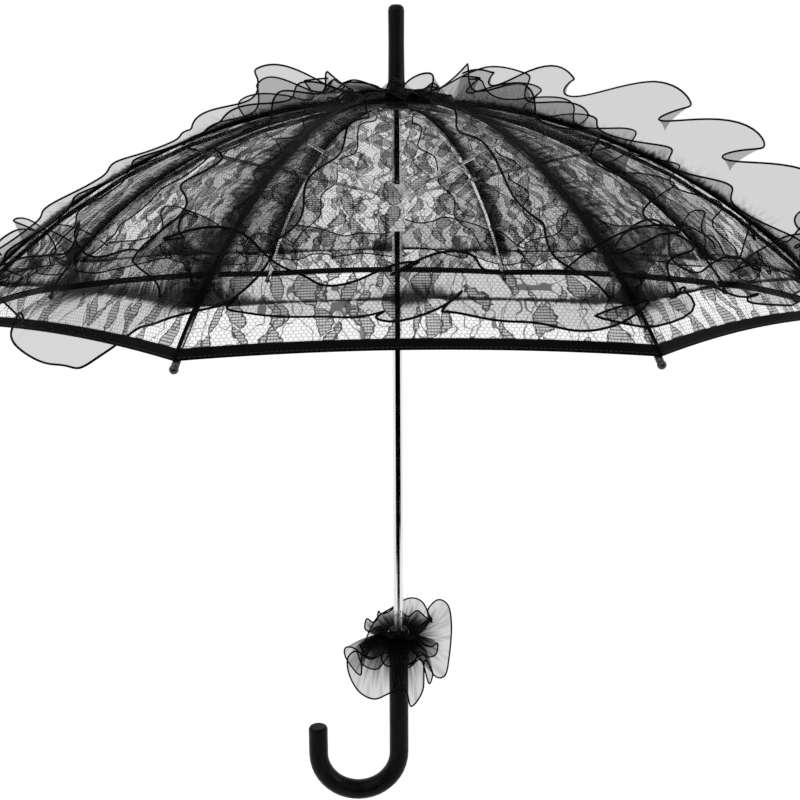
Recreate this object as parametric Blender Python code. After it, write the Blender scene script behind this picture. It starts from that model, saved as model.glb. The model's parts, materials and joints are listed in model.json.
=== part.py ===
"""Open lace parasol: crook handle, tubular shaft with a sliding runner, eight bent ribs with their
stretchers, an eight-panel canopy, and ruffles on the seams, the hem, the crown and the handle.

Metres, +Z up. The origin is the middle of the straight hand grip. The crook opens towards -X.
"""

import math

import bmesh
import bpy
from mathutils import Matrix, Vector

# Frame of the parasol
RIB_COUNT = 8
FIRST_RIB_DEG = -67.5  # turned from +X, so that a whole panel faces -Y
TIP_RADIUS = 0.410
TIP_Z = 0.401
RIB_ARC = 0.5325  # radius that every rib is bent to
ARC_Z = TIP_Z - math.sqrt(RIB_ARC**2 - TIP_RADIUS**2)  # height of that arc's centre
HALF_SECTOR = math.pi / RIB_COUNT

# Linkage: rib pivots on the top notch, stretcher pivots on the ribs
PIVOT_RADIUS = 0.0105
PIVOT_Z = ARC_Z + math.sqrt(RIB_ARC**2 - PIVOT_RADIUS**2)
JOINT_RADIUS = 0.205
JOINT_DROP = 0.0007  # below the rib's centre line
JOINT_Z = ARC_Z + math.sqrt((RIB_ARC - JOINT_DROP) ** 2 - JOINT_RADIUS**2)
RUNNER_PIVOT_Z = 2 * JOINT_Z - PIVOT_Z  # rib and stretcher arms are equally long

# Ribs, stretchers and their tips
CHANNEL_HALF_WIDTH = 0.0016
CHANNEL_TOP = 0.0013
CHANNEL_BOTTOM = -0.0022
CHANNEL_WALL = 0.0005
CHANNEL_START = 0.0185  # radius at which the channel begins
EYE_PLATE_START = 0.0180  # radius at which the eye's plate meets the channel
EYE_PLATE_TOP = 0.0011
EYE_PLATE_BOTTOM = -0.0013
EYE_PLATE_TAPER = 0.0003
EYE_RADIUS = 0.0020
EYE_HOLE = 0.0011
PLATE_HALF = 0.0006
RIVET_HOLE = 0.00095
RIVET_RADIUS = 0.00065
RIVET_HEAD = 0.0013
RIVET_HEAD_HEIGHT = 0.0006
STRETCHER_HALF_HEIGHT = 0.0012
TIP_BALL = 0.00315
SLOT_WIDTH = 0.0020
GAP = 0.0003

# Shaft, catches and runner
SHAFT_RADIUS = 0.0050
SHAFT_BORE = 0.0042
SHAFT_BOTTOM = 0.045
SHAFT_SIDES = 24
WINDOW_INNER = 0.0020
WINDOW_OUTER = 0.0080
WINDOW_CLEARANCE = 0.0004
SHAFT_TOP = 0.620
SLIDING_BORE = 0.00535
RUNNER_BOTTOM = 0.476
RUNNER_TOP = 0.5205
BARREL_RADIUS = 0.0075
FLANGE_RADIUS = 0.0125
FLANGE_HALF = 0.0045
FLANGE_CHAMFER = 0.0010
RUNNER_SLOT_INNER = 0.0084
NOTCH_SLOT_INNER = 0.0082
SLOT_OUTER = 0.0160
CUT_OVERRUN = 0.0020  # how far a cutter passes through a face
KEYWAY_INNER = 0.0040
KEYWAY_WIDTH = 0.0022
KEYWAY_DEPTH = 0.0069
CATCH_HEIGHT = 0.015
CATCH_HALF = 0.0007
CATCH_REACH = 0.0065
CATCH_INNER = 0.0005
CATCH_FOOT = 0.0046
CATCH_SHOULDER = 0.0015
TOP_CATCH_Z = RUNNER_BOTTOM - CATCH_HEIGHT - 0.0005
BOTTOM_CATCH_Z = 0.181
STOP_Z = 0.5235
STOP_RADIUS = 0.0008
STOP_HALF = 0.0068

# Top notch, crown cap and ferrule
NOTCH_RADIUS = 0.0140
NOTCH_BELOW = 0.0040
NOTCH_ABOVE = 0.0036
WIRE_RADIUS = 0.0006
GROOVE_HALF = 0.0010
CAP_RADIUS = 0.0190
CAP_Z = PIVOT_Z + NOTCH_ABOVE + GAP
CAP_HEIGHT = 0.0014
FERRULE_BASE = CAP_Z + CAP_HEIGHT + GAP
FERRULE_TOP = 0.685
FERRULE_PROFILE = (
    (0.0094, 0.0000),
    (0.0092, 0.0040),
    (0.0084, 0.0090),
    (0.0078, 0.0200),
    (0.0074, 0.0500),
    (0.0076, 0.0810),
    (0.0070, 0.0840),
)
FERRULE_FLAT = 0.0050

# Handle
HANDLE_RADIUS = 0.0100
HANDLE_TOP = 0.069
HANDLE_BORE = 0.0053
HANDLE_SIDES = 22
HANDLE_TOP_RADIUS = 0.0090
HANDLE_TOP_CHAMFER = 0.0012
CROOK_RADIUS = 0.0426
CROOK_Z = -0.0694
HOOK_END_Z = -0.0389
CROOK_STEPS = 22
HOOK_END_PROFILE = ((HANDLE_RADIUS, -0.0030), (0.0097, -0.0018), (0.0090, -0.0007), (0.0078, 0.0))

# Cloth
CLOTH = 0.0008
CANOPY_ARC = RIB_ARC + 0.0028
CANOPY_INNER = 0.0155
HEM_BEFORE_TIP = 0.0050  # along the rib, from the ball's centre
HEM_DIP = 0.0045  # how far the hem curves in, half way between ribs
CANOPY_ROWS = 7
SEAM_RUFFLE_START = 0.064
SEAM_RUFFLE_END = 0.334
SEAM_RUFFLE_STEPS = 12
SEAM_RUFFLE_FOOT = 0.0052  # above the rib's centre line
SEAM_RUFFLE_HEIGHT = 0.042
SEAM_RUFFLE_SWAY = 0.018
HEM_RUFFLE_RADIUS = 0.380
HEM_RUFFLE_HALF = 0.026
HEM_RUFFLE_FOOT = 0.0025
HEM_RUFFLE_LIFT = 0.010
HEM_RUFFLE_WAVE = 0.007
CROWN_RUFFLE = (0.0100, 0.048, FERRULE_BASE + 0.0020, 0.010, 0.009, 6)
HANDLE_RUFFLE = (0.0110, 0.046, 0.060, -0.010, 0.030, 5)
HALF_CANOPY_COLUMNS = (0.0, 0.5, 1.0)

TIP_ANGLE = math.asin(TIP_RADIUS / RIB_ARC)
HEM_ANGLE = TIP_ANGLE - HEM_BEFORE_TIP / RIB_ARC
INNER_ANGLE = math.asin(CANOPY_INNER / CANOPY_ARC)

FINISHES = {
    "chrome": ((0.72, 0.73, 0.75), 1.0, 0.15),
    "steel": ((0.55, 0.56, 0.58), 1.0, 0.30),
    "white_plastic": ((0.85, 0.85, 0.83), 0.0, 0.35),
    "black_plastic": ((0.02, 0.02, 0.02), 0.0, 0.30),
    "lace": ((0.03, 0.03, 0.03), 0.0, 0.80),
    "organza": ((0.06, 0.06, 0.06), 0.0, 0.60),
    "satin": ((0.02, 0.02, 0.02), 0.0, 0.45),
}


def clear_scene():
    for obj in list(bpy.data.objects):
        bpy.data.objects.remove(obj, do_unlink=True)


def make_mesh(name, points, faces):
    mesh = bpy.data.meshes.new(name)
    mesh.from_pydata([tuple(p) for p in points], [], faces)
    shape = bmesh.new()
    shape.from_mesh(mesh)
    bmesh.ops.recalc_face_normals(shape, faces=shape.faces)
    shape.to_mesh(mesh)
    shape.free()
    return mesh


def skin(name, rings, closed=False):
    """A closed mesh through rings of equally many points, capped unless the rings make a loop."""
    count = len(rings[0])
    points = [p for ring in rings for p in ring]
    faces = []
    for i in range(len(rings) if closed else len(rings) - 1):
        here = i * count
        there = (i + 1) % len(rings) * count
        for j in range(count):
            k = (j + 1) % count
            faces.append((here + j, here + k, there + k, there + j))
    if not closed:
        faces.append(tuple(range(count)))
        faces.append(tuple(range(len(points) - count, len(points))))
    return make_mesh(name, points, faces)


def circle(radius, z, segments):
    turns = [2 * math.pi * i / segments for i in range(segments)]
    return [Vector((radius * math.cos(t), radius * math.sin(t), z)) for t in turns]


def turned(name, profile, segments):
    """A solid of revolution about Z, through (radius, z) pairs, with flat ends."""
    return skin(name, [circle(r, z, segments) for r, z in profile])


def turned_ring(name, profile, segments):
    """A ring about Z whose cross-section is the closed (radius, z) polygon."""
    rings = []
    for i in range(segments):
        turn = 2 * math.pi * i / segments
        rings.append([Vector((r * math.cos(turn), r * math.sin(turn), z)) for r, z in profile])
    return skin(name, rings, closed=True)


def prism(name, outline, half_thickness):
    """An (x, z) outline, thickened both ways along Y."""
    sides = [[Vector((x, y, z)) for x, z in outline] for y in (-half_thickness, half_thickness)]
    return skin(name, sides)


def box_mesh(name, low, high):
    outline = [(low[0], low[1]), (high[0], low[1]), (high[0], high[1]), (low[0], high[1])]
    return skin(name, [[Vector((x, y, z)) for x, y in outline] for z in (low[2], high[2])])


def join_meshes(name, placed):
    """One mesh from (mesh, matrix) pairs that don't touch each other."""
    shape = bmesh.new()
    for mesh, matrix in placed:
        copy = mesh.copy()
        copy.transform(matrix)
        shape.from_mesh(copy)
    joined = bpy.data.meshes.new(name)
    shape.to_mesh(joined)
    shape.free()
    return joined


def add_helper(name, mesh):
    """A shape that only a Boolean reads."""
    helper = bpy.data.objects.new(name, mesh)
    helper.hide_render = True
    helper.display_type = "WIRE"
    bpy.context.scene.collection.objects.link(helper)
    return helper


def combine(obj, helper, operation):
    modifier = obj.modifiers.new(helper.name, "BOOLEAN")
    modifier.solver = "EXACT"
    modifier.operation = operation
    modifier.object = helper


def finished_mesh(name, mesh, steps):
    """The mesh after a list of Booleans, given as (name, mesh, operation)."""
    obj = add_helper(name + "_blank", mesh)
    helpers = []
    for label, other, operation in steps:
        helpers.append(add_helper(f"{name}_{label}", other))
        combine(obj, helpers[-1], operation)
    graph = bpy.context.evaluated_depsgraph_get()
    result = bpy.data.meshes.new_from_object(obj.evaluated_get(graph))
    result.name = name
    for helper in [obj, *helpers]:
        bpy.data.objects.remove(helper, do_unlink=True)
    return result


def add_node(name, mesh, finish, origin=(0, 0, 0), turn=0.0):
    colour, metallic, roughness = FINISHES[finish]
    look = bpy.data.materials.new(name)
    look.use_nodes = True
    shader = look.node_tree.nodes["Principled BSDF"]
    shader.inputs["Base Color"].default_value = (*colour, 1.0)
    shader.inputs["Metallic"].default_value = metallic
    shader.inputs["Roughness"].default_value = roughness
    mesh = mesh.copy()
    mesh.materials.clear()
    mesh.materials.append(look)
    obj = bpy.data.objects.new(name, mesh)
    obj.location = origin
    obj.rotation_euler = (0.0, 0.0, turn)
    bpy.context.scene.collection.objects.link(obj)
    return obj


def thicken(obj):
    modifier = obj.modifiers.new("cloth", "SOLIDIFY")
    modifier.thickness = CLOTH
    modifier.offset = 0.0


def cylinder_along_y(name, radius, half_length, centre, segments=10):
    mesh = turned(name, [(radius, -half_length), (radius, half_length)], segments)
    mesh.transform(Matrix.Rotation(math.pi / 2, 4, "X"))
    mesh.transform(Matrix.Translation(centre))
    return mesh


def arc_point(angle, offset=0.0):
    """(radius, z) on the ribs' arc at this angle from the top, moved outwards by offset."""
    reach = RIB_ARC + offset
    return reach * math.sin(angle), ARC_Z + reach * math.cos(angle)


def from_pivot(radius, z):
    """A point of a rib's own frame, whose origin is the rib's pivot and whose +X runs outwards."""
    return radius - PIVOT_RADIUS, z - PIVOT_Z


def station_angles():
    """Where the canopy and the ribs bend, so that both keep the same gap."""
    step = (HEM_ANGLE - INNER_ANGLE) / CANOPY_ROWS
    return [INNER_ANGLE + step * i for i in range(CANOPY_ROWS + 1)]


# ---------------------------------------------------------------- shaft, catches, runner


def add_shaft():
    profile = [
        (SHAFT_BORE, SHAFT_BOTTOM),
        (SHAFT_RADIUS, SHAFT_BOTTOM),
        (SHAFT_RADIUS, SHAFT_TOP),
        (SHAFT_BORE, SHAFT_TOP),
    ]
    tube = turned_ring("shaft", profile, SHAFT_SIDES)
    windows = []
    for z in (TOP_CATCH_Z, BOTTOM_CATCH_Z):
        low = (-SLOT_WIDTH / 2, WINDOW_INNER, z - WINDOW_CLEARANCE)
        high = (SLOT_WIDTH / 2, WINDOW_OUTER, z + CATCH_HEIGHT + WINDOW_CLEARANCE)
        windows.append((box_mesh("window", low, high), Matrix()))
    hole = cylinder_along_y("hole", STOP_RADIUS + GAP, WINDOW_OUTER, (0, 0, STOP_Z))
    cuts = join_meshes("cuts", [*windows, (hole, Matrix())])
    add_node("shaft", finished_mesh("shaft", tube, [("cuts", cuts, "DIFFERENCE")]), "chrome")


def catch_mesh(name, shoulder_up):
    """A flat sprung leaf in a shaft window. The shoulder holds the runner and the slope lets it by."""
    outline = [
        (CATCH_INNER, 0.0),
        (CATCH_FOOT, 0.0),
        (CATCH_REACH, CATCH_HEIGHT - CATCH_SHOULDER),
        (CATCH_REACH, CATCH_HEIGHT),
        (CATCH_INNER, CATCH_HEIGHT),
    ]
    if not shoulder_up:
        outline = [(y, CATCH_HEIGHT - z) for y, z in outline]
    sides = [[Vector((x, y, z)) for y, z in outline] for x in (-CATCH_HALF, CATCH_HALF)]
    return skin(name, sides)


def add_catches():
    add_node("top_catch", catch_mesh("top_catch", True), "steel", (0, 0, TOP_CATCH_Z))
    add_node("bottom_catch", catch_mesh("bottom_catch", False), "steel", (0, 0, BOTTOM_CATCH_Z))


def add_runner_stop():
    pin = cylinder_along_y("runner_stop", STOP_RADIUS, STOP_HALF, (0, 0, STOP_Z))
    add_node("runner_stop", pin, "steel")


def radial_slots(inner, outer, low, high):
    """Eight slots, one in each rib's plane."""
    slot = box_mesh("slot", (inner, -SLOT_WIDTH / 2, low), (outer, SLOT_WIDTH / 2, high))
    return [(slot, Matrix.Rotation(rib_turn(k), 4, "Z")) for k in range(RIB_COUNT)]


def add_runner():
    """A white barrel with a slotted flange near its top, where the stretchers' inner ends sit."""
    flange_low = RUNNER_PIVOT_Z - FLANGE_HALF
    flange_high = RUNNER_PIVOT_Z + FLANGE_HALF
    profile = [
        (SLIDING_BORE, RUNNER_BOTTOM),
        (BARREL_RADIUS, RUNNER_BOTTOM),
        (BARREL_RADIUS, flange_low - 0.0030),
        (FLANGE_RADIUS - FLANGE_CHAMFER, flange_low),
        (FLANGE_RADIUS, flange_low + 0.0015),
        (FLANGE_RADIUS, flange_high - FLANGE_CHAMFER),
        (FLANGE_RADIUS - FLANGE_CHAMFER, flange_high),
        (BARREL_RADIUS + 0.0005, flange_high + 0.0005),
        (BARREL_RADIUS - 0.0003, RUNNER_TOP),
        (SLIDING_BORE, RUNNER_TOP),
    ]
    blank = turned_ring("runner", profile, 24)
    slots = radial_slots(RUNNER_SLOT_INNER, SLOT_OUTER, flange_low - 0.0050, flange_high + CUT_OVERRUN)
    low = (-KEYWAY_WIDTH / 2, KEYWAY_INNER, RUNNER_BOTTOM - CUT_OVERRUN)
    high = (KEYWAY_WIDTH / 2, KEYWAY_DEPTH, RUNNER_TOP + CUT_OVERRUN)
    keyway = box_mesh("keyway", low, high)
    cuts = join_meshes("cuts", [*slots, (keyway, Matrix())])
    mesh = finished_mesh("runner", blank, [("cuts", cuts, "DIFFERENCE")])
    add_node("runner", mesh, "white_plastic")


# ---------------------------------------------------------------- top notch, cap, ferrule


def add_top_notch():
    low = PIVOT_Z - NOTCH_BELOW
    high = PIVOT_Z + NOTCH_ABOVE
    floor = PIVOT_Z - WIRE_RADIUS - 0.0004
    profile = [
        (SLIDING_BORE, low),
        (NOTCH_RADIUS - 0.0010, low),
        (NOTCH_RADIUS, low + 0.0010),
        (NOTCH_RADIUS, high),
        (PIVOT_RADIUS + GROOVE_HALF, high),
        (PIVOT_RADIUS + GROOVE_HALF, floor),
        (PIVOT_RADIUS - GROOVE_HALF, floor),
        (PIVOT_RADIUS - GROOVE_HALF, high),
        (SLIDING_BORE, high),
    ]
    blank = turned_ring("top_notch", profile, 24)
    slots = radial_slots(NOTCH_SLOT_INNER, SLOT_OUTER, low - CUT_OVERRUN, high + CUT_OVERRUN)
    cuts = join_meshes("cuts", slots)
    mesh = finished_mesh("top_notch", blank, [("cuts", cuts, "DIFFERENCE")])
    add_node("top_notch", mesh, "black_plastic")


def add_notch_wire():
    turns = [2 * math.pi * i / 6 for i in range(6)]
    profile = []
    for t in turns:
        profile.append((PIVOT_RADIUS + WIRE_RADIUS * math.cos(t), PIVOT_Z + WIRE_RADIUS * math.sin(t)))
    add_node("notch_wire", turned_ring("notch_wire", profile, 24), "steel")


def add_crown_cap():
    profile = [
        (SLIDING_BORE, CAP_Z),
        (CAP_RADIUS, CAP_Z),
        (CAP_RADIUS, CAP_Z + CAP_HEIGHT / 2),
        (CAP_RADIUS - 0.0015, CAP_Z + CAP_HEIGHT),
        (SLIDING_BORE, CAP_Z + CAP_HEIGHT),
    ]
    add_node("crown_cap", turned_ring("crown_cap", profile, 24), "satin")


def add_ferrule():
    """A cloth-covered spike with a flared foot, bored to take the top of the shaft."""
    profile = [(HANDLE_BORE, SHAFT_TOP + 0.002), (HANDLE_BORE, FERRULE_BASE)]
    for radius, height in FERRULE_PROFILE:
        profile.append((radius, FERRULE_BASE + height))
    profile.append((FERRULE_FLAT, FERRULE_TOP))
    add_node("ferrule", turned("ferrule", profile, SHAFT_SIDES), "satin")


# ---------------------------------------------------------------- handle


def add_handle():
    """A straight grip bored for the shaft, then a half-turn crook with a rounded, flat end."""
    profile = (
        (HANDLE_BORE, SHAFT_BOTTOM - 0.0015),
        (HANDLE_BORE, HANDLE_TOP),
        (HANDLE_TOP_RADIUS, HANDLE_TOP),
        (HANDLE_RADIUS, HANDLE_TOP - HANDLE_TOP_CHAMFER),
    )
    rings = [circle(radius, z, HANDLE_SIDES) for radius, z in profile]
    section = circle(HANDLE_RADIUS, 0.0, HANDLE_SIDES)
    for i in range(CROOK_STEPS + 1):
        bend = Matrix.Rotation(math.pi * i / CROOK_STEPS, 4, "Y")
        outwards = Matrix.Translation((CROOK_RADIUS, 0, 0))
        place = Matrix.Translation((-CROOK_RADIUS, 0, CROOK_Z))
        rings.append([place @ bend @ outwards @ p for p in section])
    hook = Matrix.Translation((-2 * CROOK_RADIUS, 0, HOOK_END_Z)) @ Matrix.Diagonal((-1, 1, 1, 1))
    for radius, height in HOOK_END_PROFILE:
        rings.append([hook @ p for p in circle(radius, height, HANDLE_SIDES)])
    add_node("handle", skin("handle", rings), "satin")


# ---------------------------------------------------------------- ribs and stretchers


def rib_turn(k):
    return math.radians(FIRST_RIB_DEG + 360.0 / RIB_COUNT * k)


def channel_section(angle):
    """The rib's open-bottomed channel at this angle, in the rib's own frame."""
    inner = CHANNEL_HALF_WIDTH - CHANNEL_WALL
    roof = CHANNEL_TOP - CHANNEL_WALL
    outline = [
        (-CHANNEL_HALF_WIDTH, CHANNEL_BOTTOM),
        (-CHANNEL_HALF_WIDTH, CHANNEL_TOP),
        (CHANNEL_HALF_WIDTH, CHANNEL_TOP),
        (CHANNEL_HALF_WIDTH, CHANNEL_BOTTOM),
        (inner, CHANNEL_BOTTOM),
        (inner, roof),
        (-inner, roof),
        (-inner, CHANNEL_BOTTOM),
    ]
    ring = []
    for across, up in outline:
        x, z = from_pivot(*arc_point(angle, up))
        ring.append(Vector((x, across, z)))
    return ring


def rib_mesh():
    """A bent channel with a flat eye at its inner end and a rivet hole part way along."""
    start = math.asin(CHANNEL_START / RIB_ARC)
    end = TIP_ANGLE - (TIP_BALL + GAP) / RIB_ARC
    angles = [start, *station_angles()[1:-1], end]
    channel = skin("channel", [channel_section(a) for a in angles])
    eye = []
    for i in range(9):
        turn = math.radians(50 + 260 * i / 8)
        eye.append((EYE_RADIUS * math.cos(turn), EYE_RADIUS * math.sin(turn)))
    plate_start = math.asin(EYE_PLATE_START / RIB_ARC)
    x, low = from_pivot(*arc_point(plate_start, EYE_PLATE_BOTTOM))
    high = from_pivot(*arc_point(plate_start, EYE_PLATE_TOP))[1]
    eye += [(x, low), (2 * x, low - EYE_PLATE_TAPER), (2 * x, high - EYE_PLATE_TAPER), (x, high)]
    plate = prism("plate", eye, PLATE_HALF)
    joint = from_pivot(JOINT_RADIUS, JOINT_Z)
    holes = [
        (cylinder_along_y("hole", EYE_HOLE, 0.004, (0, 0, 0)), Matrix()),
        (cylinder_along_y("hole", RIVET_HOLE, 0.004, (joint[0], 0, joint[1])), Matrix()),
    ]
    steps = [("plate", plate, "UNION"), ("holes", join_meshes("holes", holes), "DIFFERENCE")]
    return finished_mesh("rib", channel, steps)


def ball_mesh():
    """A round tip cap at the end of a rib, in the rib's own frame."""
    rises = [math.radians(degrees) for degrees in (-70, -45, -20, 0, 20, 45, 70)]
    profile = [(TIP_BALL * math.cos(rise), TIP_BALL * math.sin(rise)) for rise in rises]
    mesh = turned("tip", profile, 12)
    mesh.transform(Matrix.Rotation(math.pi / 2 + TIP_ANGLE, 4, "Y"))
    x, z = from_pivot(TIP_RADIUS, TIP_Z)
    mesh.transform(Matrix.Translation((x, 0, z)))
    return mesh


def stretcher_mesh():
    """A flat bar with rounded ends and a two-headed rivet, in a frame whose origin is the rivet."""
    end = Vector((PIVOT_RADIUS - JOINT_RADIUS, RUNNER_PIVOT_Z - JOINT_Z))
    along = math.atan2(end.y, end.x)
    outline = []
    for centre, facing in ((Vector((0, 0)), along + math.pi), (end, along)):
        for i in range(5):
            turn = facing + math.radians(-90 + 45 * i)
            outline.append(
                (
                    centre.x + STRETCHER_HALF_HEIGHT * math.cos(turn),
                    centre.y + STRETCHER_HALF_HEIGHT * math.sin(turn),
                )
            )
    bar = prism("bar", outline, PLATE_HALF)
    shoulder = CHANNEL_HALF_WIDTH + GAP
    top = shoulder + RIVET_HEAD_HEIGHT
    profile = [
        (RIVET_HEAD, -top),
        (RIVET_HEAD, -shoulder),
        (RIVET_RADIUS, -shoulder),
        (RIVET_RADIUS, shoulder),
        (RIVET_HEAD, shoulder),
        (RIVET_HEAD, top),
    ]
    rivet = turned("rivet", profile, 8)
    rivet.transform(Matrix.Rotation(math.pi / 2, 4, "X"))
    return finished_mesh("stretcher", bar, [("rivet", rivet, "UNION")])


# ---------------------------------------------------------------- cloth


def grid_mesh(name, rows, closed=False):
    """An open sheet through rows of equally many points."""
    count = len(rows[0])
    points = [p for row in rows for p in row]
    faces = []
    for i in range(len(rows) - 1):
        for j in range(count if closed else count - 1):
            k = (j + 1) % count
            faces.append((i * count + j, i * count + k, (i + 1) * count + k, (i + 1) * count + j))
    return make_mesh(name, points, faces)


def on_panel(radius, side, share, lift=0.0, gap=GAP / 2):
    """A point of a rib's frame on the straight chord to the next rib, share 1 being half way."""
    reach = CANOPY_ARC + lift
    angle = math.asin(radius / CANOPY_ARC)
    rib_radius = reach * math.sin(angle)
    run = share * (rib_radius * math.sin(HALF_SECTOR) - gap)
    x, z = from_pivot(rib_radius - run * math.sin(HALF_SECTOR), ARC_Z + reach * math.cos(angle))
    return Vector((x, side * run * math.cos(HALF_SECTOR), z))


def canopy_mesh():
    """The cloth from half way to one neighbour, over the rib, to half way to the other."""
    columns = [(-1, w) for w in reversed(HALF_CANOPY_COLUMNS[1:])]
    columns += [(1, w) for w in HALF_CANOPY_COLUMNS]
    rows = []
    for angle in station_angles():
        share = (angle - INNER_ANGLE) / (HEM_ANGLE - INNER_ANGLE)
        radius = CANOPY_ARC * math.sin(angle)
        row = []
        for side, w in columns:
            dip = HEM_DIP * share * w * (2 - w)
            row.append(on_panel(radius - dip, side, w))
        rows.append(row)
    return grid_mesh("canopy", rows)


def seam_ruffle_mesh():
    """A frill standing along a seam, swaying to one side and then the other."""
    first = math.asin(SEAM_RUFFLE_START / RIB_ARC)
    last = math.asin(SEAM_RUFFLE_END / RIB_ARC)
    rows = []
    for height in (0.0, 1.0):
        row = []
        for i in range(SEAM_RUFFLE_STEPS + 1):
            share = i / SEAM_RUFFLE_STEPS
            angle = first + (last - first) * share
            sway = SEAM_RUFFLE_SWAY * height * math.sin(math.pi * (i + 0.5) / 1.5)
            crest = 0.55 + 0.45 * math.sin(math.pi * share)
            lift = SEAM_RUFFLE_FOOT + SEAM_RUFFLE_HEIGHT * height * crest
            x, z = from_pivot(*arc_point(angle, lift))
            row.append(Vector((x, sway, z)))
        rows.append(row)
    return grid_mesh("seam_ruffle", rows)


def hem_ruffle_mesh():
    """A frill along one sector's hem, sewn down its middle, with both edges lifted in waves."""
    columns = [i / 6 for i in range(-6, 7)]
    rows = []
    for step, wave in ((-HEM_RUFFLE_HALF, 1.0), (0.0, 0.0), (HEM_RUFFLE_HALF, -1.0)):
        row = []
        for i, w in enumerate(columns):
            share = abs(w)
            side = 1 if w > 0 else -1
            radius = HEM_RUFFLE_RADIUS - HEM_DIP * share * (2 - share) + step
            lift = HEM_RUFFLE_FOOT
            if wave:
                lift += HEM_RUFFLE_LIFT + HEM_RUFFLE_WAVE * wave * math.sin(math.pi * i / 1.5)
            row.append(on_panel(radius, side, share, lift, GAP))
        rows.append(row)
    return grid_mesh("hem_ruffle", rows)


def ruffle_ring(name, inner, outer, z, rise, sway, waves):
    """A gathered round frill: flat where it is sewn, in deep waves at its free edge."""
    rows = []
    for share in (0.0, 0.5, 1.0):
        radius = inner + (outer - inner) * share
        row = []
        for i in range(24):
            turn = 2 * math.pi * i / 24
            height = z + rise * share + sway * share * math.sin(waves * turn)
            row.append(Vector((radius * math.cos(turn), radius * math.sin(turn), height)))
        rows.append(row)
    return grid_mesh(name, rows, closed=True)


def add_round_ruffles():
    crown = ruffle_ring("crown_ruffle", *CROWN_RUFFLE)
    thicken(add_node("crown_ruffle", crown, "organza"))
    rosette = ruffle_ring("handle_ruffle", *HANDLE_RUFFLE)
    thicken(add_node("handle_ruffle", rosette, "organza"))


def add_sectors():
    """The eight turned copies of everything that moves with a rib."""
    pivot_pieces = (
        ("rib", rib_mesh(), "steel"),
        ("rib_tip", ball_mesh(), "black_plastic"),
        ("canopy", canopy_mesh(), "lace"),
        ("seam_ruffle", seam_ruffle_mesh(), "organza"),
        ("hem_ruffle", hem_ruffle_mesh(), "organza"),
    )
    stretcher = stretcher_mesh()
    for k in range(RIB_COUNT):
        turn = rib_turn(k)
        outwards = Vector((math.cos(turn), math.sin(turn), 0))
        pivot = PIVOT_RADIUS * outwards + Vector((0, 0, PIVOT_Z))
        joint = JOINT_RADIUS * outwards + Vector((0, 0, JOINT_Z))
        for name, mesh, finish in pivot_pieces:
            obj = add_node(f"{name}_{k + 1}", mesh, finish, pivot, turn)
            if finish in ("lace", "organza"):
                thicken(obj)
        add_node(f"stretcher_{k + 1}", stretcher, "steel", joint, turn)


def main():
    clear_scene()
    add_shaft()
    add_catches()
    add_runner_stop()
    add_runner()
    add_top_notch()
    add_notch_wire()
    add_crown_cap()
    add_ferrule()
    add_handle()
    add_sectors()
    add_round_ruffles()


main()
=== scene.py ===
"""The looks of the lace parasol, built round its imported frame: lace panels, bindings, organza frills
with corded edges, the materials of the hardware, and a plain studio.
"""

import json
import math

import bpy
import numpy as np
from mathutils import Matrix, Vector


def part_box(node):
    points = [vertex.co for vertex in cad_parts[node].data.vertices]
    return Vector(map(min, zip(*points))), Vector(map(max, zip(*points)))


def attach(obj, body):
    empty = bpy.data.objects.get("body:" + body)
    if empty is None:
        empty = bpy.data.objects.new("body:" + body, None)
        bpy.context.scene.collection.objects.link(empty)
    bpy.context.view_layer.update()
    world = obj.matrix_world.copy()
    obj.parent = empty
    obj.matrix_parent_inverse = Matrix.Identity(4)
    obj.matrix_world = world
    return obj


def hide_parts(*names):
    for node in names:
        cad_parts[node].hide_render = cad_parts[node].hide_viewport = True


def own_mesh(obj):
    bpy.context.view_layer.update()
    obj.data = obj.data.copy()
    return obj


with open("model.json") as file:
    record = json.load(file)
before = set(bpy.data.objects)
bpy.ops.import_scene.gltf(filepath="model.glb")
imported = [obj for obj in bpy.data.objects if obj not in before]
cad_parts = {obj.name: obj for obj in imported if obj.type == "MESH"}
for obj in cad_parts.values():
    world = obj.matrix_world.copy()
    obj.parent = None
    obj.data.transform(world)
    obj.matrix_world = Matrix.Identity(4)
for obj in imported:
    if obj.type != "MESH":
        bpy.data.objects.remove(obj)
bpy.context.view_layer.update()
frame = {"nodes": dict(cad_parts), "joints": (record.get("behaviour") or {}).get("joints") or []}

# ---------------------------------------------------------------- the frame's own sizes

RIBS = range(1, 9)
RIB_ARC = 0.5325
HALF_SECTOR = math.pi / 8
CLOTH_OVER_RIB = 0.0028
HINGES = {j["name"]: j for j in frame["joints"] if j["type"] == "hinge"}


def middle_of(node):
    low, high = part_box(node)
    return (low + high) / 2


TIP = middle_of("rib_tip_1")
TIP_RADIUS = math.hypot(TIP.x, TIP.y)
TIP_ANGLE = math.asin(TIP_RADIUS / RIB_ARC)
ARC_Z = TIP.z - RIB_ARC * math.cos(TIP_ANGLE)
CANOPY_ARC = RIB_ARC + CLOTH_OVER_RIB
TOP_HOLE_RADIUS = 0.0135
HEM_BEFORE_TIP = 0.0050
INNER_ANGLE = math.asin(TOP_HOLE_RADIUS / CANOPY_ARC)
HEM_ANGLE = TIP_ANGLE - HEM_BEFORE_TIP / RIB_ARC
HEM_DIP = 0.0045  # how far each panel's hem is drawn in half way between two ribs
HEM_WIDTH = 0.0090
GRIP_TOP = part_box("handle")[1].z
FERRULE_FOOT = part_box("ferrule")[0].z
FERRULE_RADIUS = 0.0094
HANDLE_RADIUS = 0.0100


def rib_axes(k):
    """(outwards, across) unit vectors of rib k, across being a quarter turn on from outwards."""
    at = Vector(HINGES[f"rib_{k}_hinge"]["pos_m"])
    out = Vector((at.x, at.y, 0)).normalized()
    return out, Vector((-out.y, out.x, 0))


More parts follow.
